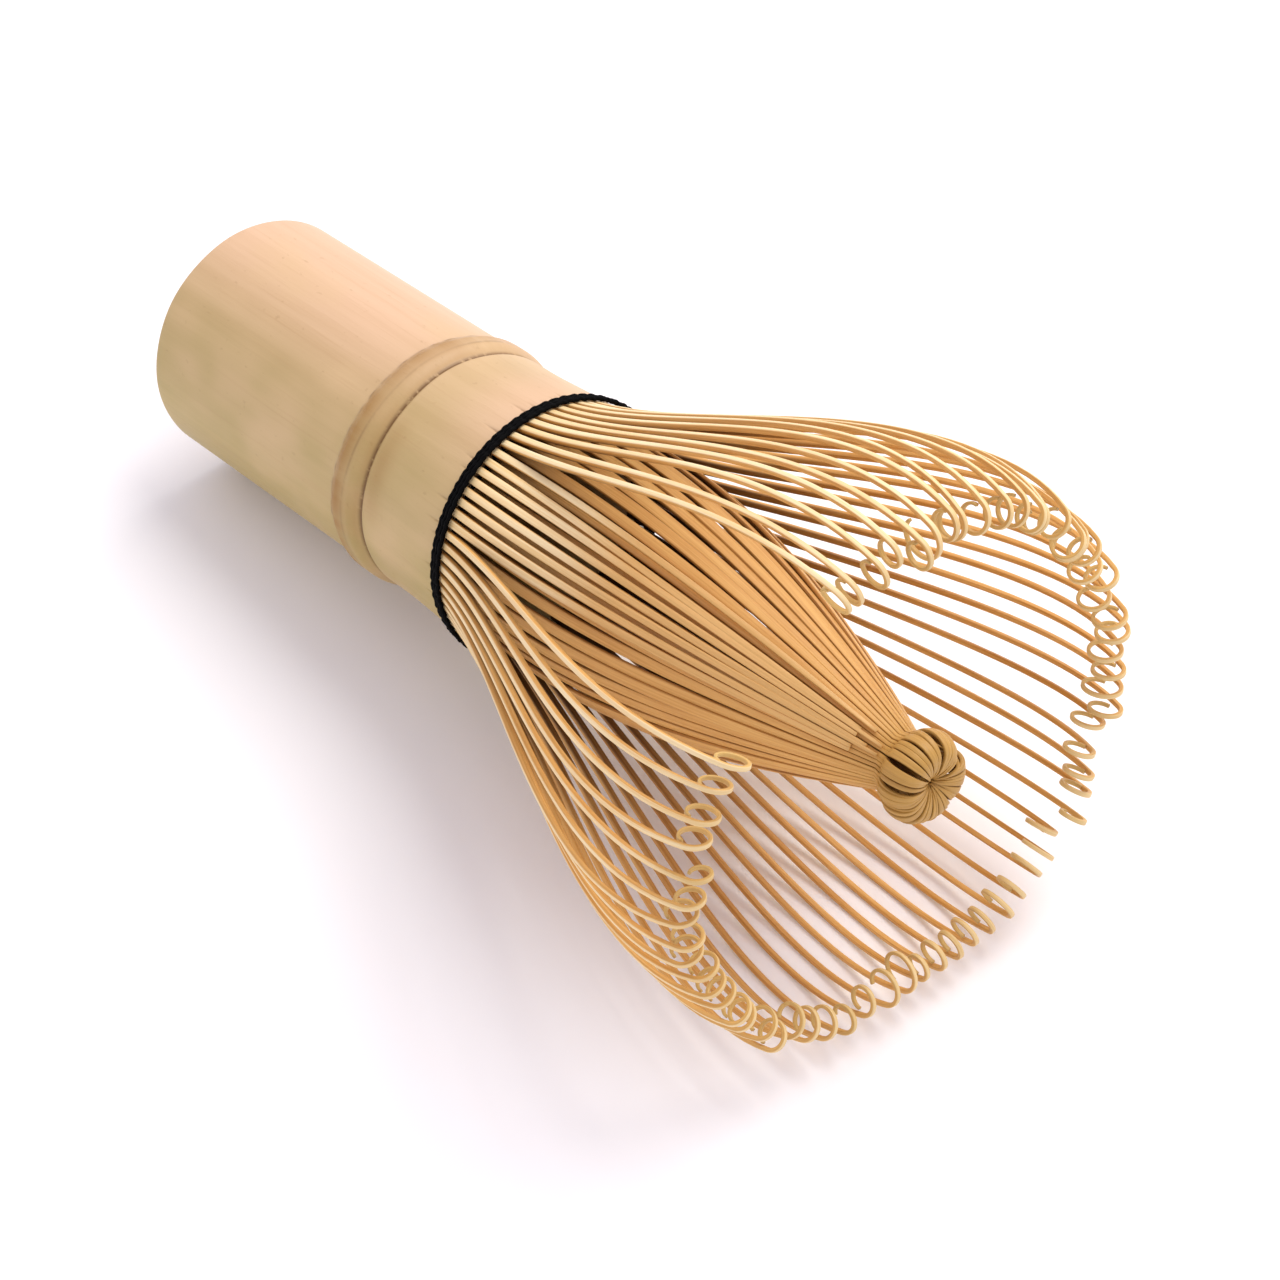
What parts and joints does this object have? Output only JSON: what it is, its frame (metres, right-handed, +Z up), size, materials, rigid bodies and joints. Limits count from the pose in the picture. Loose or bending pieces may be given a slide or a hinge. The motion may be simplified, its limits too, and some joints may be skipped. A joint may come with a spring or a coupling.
{
  "type": "bamboo tea whisk",
  "caption": "Bamboo tea whisk: a short culm handle split into a flared outer ring of curled tines and an inner ring gathered in a knob, laced with one black thread, for frothing powdered tea.",
  "frame": {"origin": "middle of the whisk's footprint on the surface it lies on", "axes": "+X along the whisk towards the mouth of the tines, +Z up; the whisk lies on its side, its axis rising 8.3 degrees towards the mouth"},
  "size_m": [0.1108, 0.0582, 0.056],
  "materials": {
    "bamboo_culm": "smooth dry culm skin, satin",
    "bamboo_outer": "fine split bamboo, satin",
    "bamboo_inner": "fine split bamboo, satin",
    "lacing_thread": "twisted cotton thread, matt"
  },
  "bodies": {
    "culm": {"culm_handle": "bamboo_culm", "lacing_thread": "lacing_thread"},
    "inner_group_1": {"inner_tines_1": "bamboo_inner"},
    "inner_group_2": {"inner_tines_2": "bamboo_inner"},
    "inner_group_3": {"inner_tines_3": "bamboo_inner"},
    "inner_group_4": {"inner_tines_4": "bamboo_inner"},
    "inner_group_5": {"inner_tines_5": "bamboo_inner"},
    "inner_group_6": {"inner_tines_6": "bamboo_inner", "tucked_tines": "bamboo_outer"},
    "outer_01": {"outer_tines_01": "bamboo_outer"},
    "outer_02": {"outer_tines_02": "bamboo_outer"},
    "outer_03": {"outer_tines_03": "bamboo_outer"},
    "outer_04": {"outer_tines_04": "bamboo_outer"},
    "outer_05": {"outer_tines_05": "bamboo_outer"},
    "outer_06": {"outer_tines_06": "bamboo_outer"},
    "outer_07": {"outer_tines_07": "bamboo_outer"},
    "outer_08": {"outer_tines_08": "bamboo_outer"},
    "outer_09": {"outer_tines_09": "bamboo_outer"},
    "outer_10": {"outer_tines_10": "bamboo_outer"},
    "outer_11": {"outer_tines_11": "bamboo_outer"},
    "outer_12": {"outer_tines_12": "bamboo_outer"},
    "outer_13": {"outer_tines_13": "bamboo_outer"},
    "outer_14": {"outer_tines_14": "bamboo_outer"},
    "outer_15": {"outer_tines_15": "bamboo_outer"},
    "outer_16": {"outer_tines_16": "bamboo_outer"},
    "outer_17": {"outer_tines_17": "bamboo_outer"},
    "outer_18": {"outer_tines_18": "bamboo_outer"},
    "outer_19": {"outer_tines_19": "bamboo_outer"},
    "outer_20": {"outer_tines_20": "bamboo_outer"},
    "outer_21": {"outer_tines_21": "bamboo_outer"},
    "outer_22": {"outer_tines_22": "bamboo_outer"},
    "outer_23": {"outer_tines_23": "bamboo_outer"},
    "outer_24": {"outer_tines_24": "bamboo_outer"},
    "outer_25": {"outer_tines_25": "bamboo_outer"},
    "outer_26": {"outer_tines_26": "bamboo_outer"},
    "outer_27": {"outer_tines_27": "bamboo_outer"},
    "outer_28": {"outer_tines_28": "bamboo_outer"},
    "outer_29": {"outer_tines_29": "bamboo_outer"},
    "outer_30": {"outer_tines_30": "bamboo_outer"},
    "outer_31": {"outer_tines_31": "bamboo_outer"},
    "outer_32": {"outer_tines_32": "bamboo_outer"}
  },
  "joints": [
    {"name": "inner_flex_1", "type": "hinge", "parent": "culm", "child": "inner_group_1", "pos_m": [-0.00444, 0.00708, 0.03045], "axis": [-0.0802, -0.8315, 0.5498], "range_deg": [0, 4], "stiffness_Nm_per_rad": 0.06},
    {"name": "inner_flex_2", "type": "hinge", "parent": "culm", "child": "inner_group_2", "pos_m": [-0.0029, 0.01235, 0.01989], "axis": [-0.144, 0.0654, 0.9874], "range_deg": [0, 4], "stiffness_Nm_per_rad": 0.06},
    {"name": "inner_flex_3", "type": "hinge", "parent": "culm", "child": "inner_group_3", "pos_m": [-0.00147, 0.00573, 0.0101], "axis": [-0.0638, 0.8969, 0.4377], "range_deg": [0, 4], "stiffness_Nm_per_rad": 0.06},
    {"name": "inner_flex_4", "type": "hinge", "parent": "culm", "child": "inner_group_4", "pos_m": [-0.00158, -0.00614, 0.01087], "axis": [0.0802, 0.8315, -0.5498], "range_deg": [0, 4], "stiffness_Nm_per_rad": 0.06},
    {"name": "inner_flex_5", "type": "hinge", "parent": "culm", "child": "inner_group_5", "pos_m": [-0.00313, -0.01141, 0.02143], "axis": [0.144, -0.0654, -0.9874], "range_deg": [0, 4], "stiffness_Nm_per_rad": 0.06},
    {"name": "inner_flex_6", "type": "hinge", "parent": "culm", "child": "inner_group_6", "pos_m": [-0.00455, -0.00479, 0.03122], "axis": [0.0638, -0.8969, -0.4377], "range_deg": [0, 4], "stiffness_Nm_per_rad": 0.06},
    {"name": "outer_flex_01", "type": "hinge", "parent": "culm", "child": "outer_01", "pos_m": [-0.00489, -0.00301, 0.03352], "axis": [0.0374, -0.9659, -0.2561], "range_deg": [-4, 6], "stiffness_Nm_per_rad": 0.04},
    {"name": "outer_flex_02", "type": "hinge", "parent": "culm", "child": "outer_02", "pos_m": [-0.00495, -0.0007, 0.03392], "axis": [0.0126, -0.9962, -0.0862], "range_deg": [-4, 6], "stiffness_Nm_per_rad": 0.04},
    {"name": "outer_flex_03", "type": "hinge", "parent": "culm", "child": "outer_03", "pos_m": [-0.00495, 0.00164, 0.03392], "axis": [-0.0126, -0.9962, 0.0862], "range_deg": [-4, 6], "stiffness_Nm_per_rad": 0.04},
    {"name": "outer_flex_04", "type": "hinge", "parent": "culm", "child": "outer_04", "pos_m": [-0.00489, 0.00395, 0.03352], "axis": [-0.0374, -0.9659, 0.2561], "range_deg": [-4, 6], "stiffness_Nm_per_rad": 0.04},
    {"name": "outer_flex_05", "type": "hinge", "parent": "culm", "child": "outer_05", "pos_m": [-0.00477, 0.00615, 0.03272], "axis": [-0.061, -0.9063, 0.4182], "range_deg": [-4, 6], "stiffness_Nm_per_rad": 0.04},
    {"name": "outer_flex_06", "type": "hinge", "parent": "culm", "child": "outer_06", "pos_m": [-0.0046, 0.00818, 0.03157], "axis": [-0.0828, -0.8192, 0.5676], "range_deg": [-4, 6], "stiffness_Nm_per_rad": 0.04},
    {"name": "outer_flex_07", "type": "hinge", "parent": "culm", "child": "outer_07", "pos_m": [-0.00439, 0.00998, 0.03007], "axis": [-0.1021, -0.7071, 0.6997], "range_deg": [-4, 6], "stiffness_Nm_per_rad": 0.04},
    {"name": "outer_flex_08", "type": "hinge", "parent": "culm", "child": "outer_08", "pos_m": [-0.00413, 0.01149, 0.0283], "axis": [-0.1182, -0.5736, 0.8106], "range_deg": [-4, 6], "stiffness_Nm_per_rad": 0.04},
    {"name": "outer_flex_09", "type": "hinge", "parent": "culm", "child": "outer_09", "pos_m": [-0.00383, 0.01266, 0.02629], "axis": [-0.1308, -0.4226, 0.8968], "range_deg": [-4, 6], "stiffness_Nm_per_rad": 0.04},
    {"name": "outer_flex_10", "type": "hinge", "parent": "culm", "child": "outer_10", "pos_m": [-0.00351, 0.01346, 0.02411], "axis": [-0.1394, -0.2588, 0.9558], "range_deg": [-4, 6], "stiffness_Nm_per_rad": 0.04},
    {"name": "outer_flex_11", "type": "hinge", "parent": "culm", "child": "outer_11", "pos_m": [-0.00318, 0.01387, 0.02182], "axis": [-0.1438, -0.0872, 0.9858], "range_deg": [-4, 6], "stiffness_Nm_per_rad": 0.04},
    {"name": "outer_flex_12", "type": "hinge", "parent": "culm", "child": "outer_12", "pos_m": [-0.00284, 0.01387, 0.0195], "axis": [-0.1438, 0.0872, 0.9858], "range_deg": [-4, 6], "stiffness_Nm_per_rad": 0.04},
    {"name": "outer_flex_13", "type": "hinge", "parent": "culm", "child": "outer_13", "pos_m": [-0.00251, 0.01346, 0.01722], "axis": [-0.1394, 0.2588, 0.9558], "range_deg": [-4, 6], "stiffness_Nm_per_rad": 0.04},
    {"name": "outer_flex_14", "type": "hinge", "parent": "culm", "child": "outer_14", "pos_m": [-0.00219, 0.01266, 0.01504], "axis": [-0.1308, 0.4226, 0.8968], "range_deg": [-4, 6], "stiffness_Nm_per_rad": 0.04},
    {"name": "outer_flex_15", "type": "hinge", "parent": "culm", "child": "outer_15", "pos_m": [-0.0019, 0.01149, 0.01303], "axis": [-0.1182, 0.5736, 0.8106], "range_deg": [-4, 6], "stiffness_Nm_per_rad": 0.04},
    {"name": "outer_flex_16", "type": "hinge", "parent": "culm", "child": "outer_16", "pos_m": [-0.00164, 0.00998, 0.01125], "axis": [-0.102, 0.7071, 0.6997], "range_deg": [-4, 6], "stiffness_Nm_per_rad": 0.04},
    {"name": "outer_flex_17", "type": "hinge", "parent": "culm", "child": "outer_17", "pos_m": [-0.00142, 0.00818, 0.00976], "axis": [-0.0826, 0.8192, 0.5676], "range_deg": [-4, 6], "stiffness_Nm_per_rad": 0.04},
    {"name": "outer_flex_18", "type": "hinge", "parent": "culm", "child": "outer_18", "pos_m": [-0.00125, 0.00615, 0.0086], "axis": [-0.0608, 0.9063, 0.4182], "range_deg": [-4, 6], "stiffness_Nm_per_rad": 0.04},
    {"name": "outer_flex_19", "type": "hinge", "parent": "culm", "child": "outer_19", "pos_m": [-0.00114, 0.00395, 0.00781], "axis": [-0.037, 0.9659, 0.2562], "range_deg": [-4, 6], "stiffness_Nm_per_rad": 0.04},
    {"name": "outer_flex_20", "type": "hinge", "parent": "culm", "child": "outer_20", "pos_m": [-0.00108, 0.00164, 0.00741], "axis": [-0.0121, 0.9962, 0.0863], "range_deg": [-4, 6], "stiffness_Nm_per_rad": 0.04},
    {"name": "outer_flex_21", "type": "hinge", "parent": "culm", "child": "outer_21", "pos_m": [-0.00108, -0.0007, 0.00741], "axis": [0.0134, 0.9962, -0.0861], "range_deg": [-4, 6], "stiffness_Nm_per_rad": 0.04},
    {"name": "outer_flex_22", "type": "hinge", "parent": "culm", "child": "outer_22", "pos_m": [-0.00114, -0.00301, 0.00781], "axis": [0.0385, 0.9659, -0.2559], "range_deg": [-4, 6], "stiffness_Nm_per_rad": 0.04},
    {"name": "outer_flex_23", "type": "hinge", "parent": "culm", "child": "outer_23", "pos_m": [-0.00125, -0.00521, 0.0086], "axis": [0.0627, 0.9063, -0.4179], "range_deg": [-4, 6], "stiffness_Nm_per_rad": 0.04},
    {"name": "outer_flex_24", "type": "hinge", "parent": "culm", "child": "outer_24", "pos_m": [-0.00142, -0.00724, 0.00976], "axis": [0.0854, 0.8191, -0.5672], "range_deg": [-4, 6], "stiffness_Nm_per_rad": 0.04},
    {"name": "outer_flex_25", "type": "hinge", "parent": "culm", "child": "outer_25", "pos_m": [-0.00164, -0.00904, 0.01125], "axis": [0.1059, 0.7071, -0.6991], "range_deg": [-4, 6], "stiffness_Nm_per_rad": 0.04},
    {"name": "outer_flex_26", "type": "hinge", "parent": "culm", "child": "outer_26", "pos_m": [-0.0019, -0.01055, 0.01303], "axis": [0.1239, 0.5736, -0.8097], "range_deg": [-4, 6], "stiffness_Nm_per_rad": 0.04},
    {"name": "outer_flex_27", "type": "hinge", "parent": "culm", "child": "outer_27", "pos_m": [-0.00219, -0.01172, 0.01504], "axis": [0.1393, 0.4226, -0.8955], "range_deg": [-4, 6], "stiffness_Nm_per_rad": 0.04},
    {"name": "outer_flex_28", "type": "hinge", "parent": "culm", "child": "outer_28", "pos_m": [-0.00251, -0.01252, 0.01722], "axis": [0.1521, 0.2588, -0.9539], "range_deg": [-4, 6], "stiffness_Nm_per_rad": 0.04},
    {"name": "outer_flex_29", "type": "hinge", "parent": "culm", "child": "outer_29", "pos_m": [-0.00284, -0.01293, 0.0195], "axis": [0.1627, 0.0871, -0.9828], "range_deg": [-4, 6], "stiffness_Nm_per_rad": 0.04},
    {"name": "outer_flex_30", "type": "hinge", "parent": "culm", "child": "outer_30", "pos_m": [-0.00318, -0.01293, 0.02182], "axis": [0.172, -0.0871, -0.9812], "range_deg": [-4, 6], "stiffness_Nm_per_rad": 0.04},
    {"name": "outer_flex_31", "type": "hinge", "parent": "culm", "child": "outer_31", "pos_m": [-0.00351, -0.01252, 0.02411], "axis": [0.1814, -0.2586, -0.9488], "range_deg": [-4, 6], "stiffness_Nm_per_rad": 0.04},
    {"name": "outer_flex_32", "type": "hinge", "parent": "culm", "child": "outer_32", "pos_m": [-0.00383, -0.01172, 0.02629], "axis": [0.1933, -0.4218, -0.8858], "range_deg": [-4, 6], "stiffness_Nm_per_rad": 0.04}
  ],
  "couplings": [
    {"joint": "outer_flex_01", "follows": "outer_flex_04", "ratio": 1},
    {"joint": "outer_flex_02", "follows": "outer_flex_04", "ratio": 1},
    {"joint": "outer_flex_03", "follows": "outer_flex_04", "ratio": 1},
    {"joint": "outer_flex_05", "follows": "outer_flex_04", "ratio": 1},
    {"joint": "outer_flex_06", "follows": "outer_flex_04", "ratio": 1},
    {"joint": "outer_flex_07", "follows": "outer_flex_04", "ratio": 1},
    {"joint": "outer_flex_08", "follows": "outer_flex_04", "ratio": 1},
    {"joint": "outer_flex_09", "follows": "outer_flex_12", "ratio": 1},
    {"joint": "outer_flex_10", "follows": "outer_flex_12", "ratio": 1},
    {"joint": "outer_flex_11", "follows": "outer_flex_12", "ratio": 1},
    {"joint": "outer_flex_13", "follows": "outer_flex_12", "ratio": 1},
    {"joint": "outer_flex_14", "follows": "outer_flex_12", "ratio": 1},
    {"joint": "outer_flex_15", "follows": "outer_flex_12", "ratio": 1},
    {"joint": "outer_flex_16", "follows": "outer_flex_12", "ratio": 1},
    {"joint": "outer_flex_17", "follows": "outer_flex_20", "ratio": 1},
    {"joint": "outer_flex_18", "follows": "outer_flex_20", "ratio": 1},
    {"joint": "outer_flex_19", "follows": "outer_flex_20", "ratio": 1},
    {"joint": "outer_flex_21", "follows": "outer_flex_20", "ratio": 1},
    {"joint": "outer_flex_22", "follows": "outer_flex_20", "ratio": 1},
    {"joint": "outer_flex_23", "follows": "outer_flex_20", "ratio": 1},
    {"joint": "outer_flex_24", "follows": "outer_flex_20", "ratio": 1},
    {"joint": "outer_flex_25", "follows": "outer_flex_28", "ratio": 1},
    {"joint": "outer_flex_26", "follows": "outer_flex_28", "ratio": 1},
    {"joint": "outer_flex_27", "follows": "outer_flex_28", "ratio": 1},
    {"joint": "outer_flex_29", "follows": "outer_flex_28", "ratio": 1},
    {"joint": "outer_flex_30", "follows": "outer_flex_28", "ratio": 1},
    {"joint": "outer_flex_31", "follows": "outer_flex_28", "ratio": 1},
    {"joint": "outer_flex_32", "follows": "outer_flex_28", "ratio": 1}
  ]
}
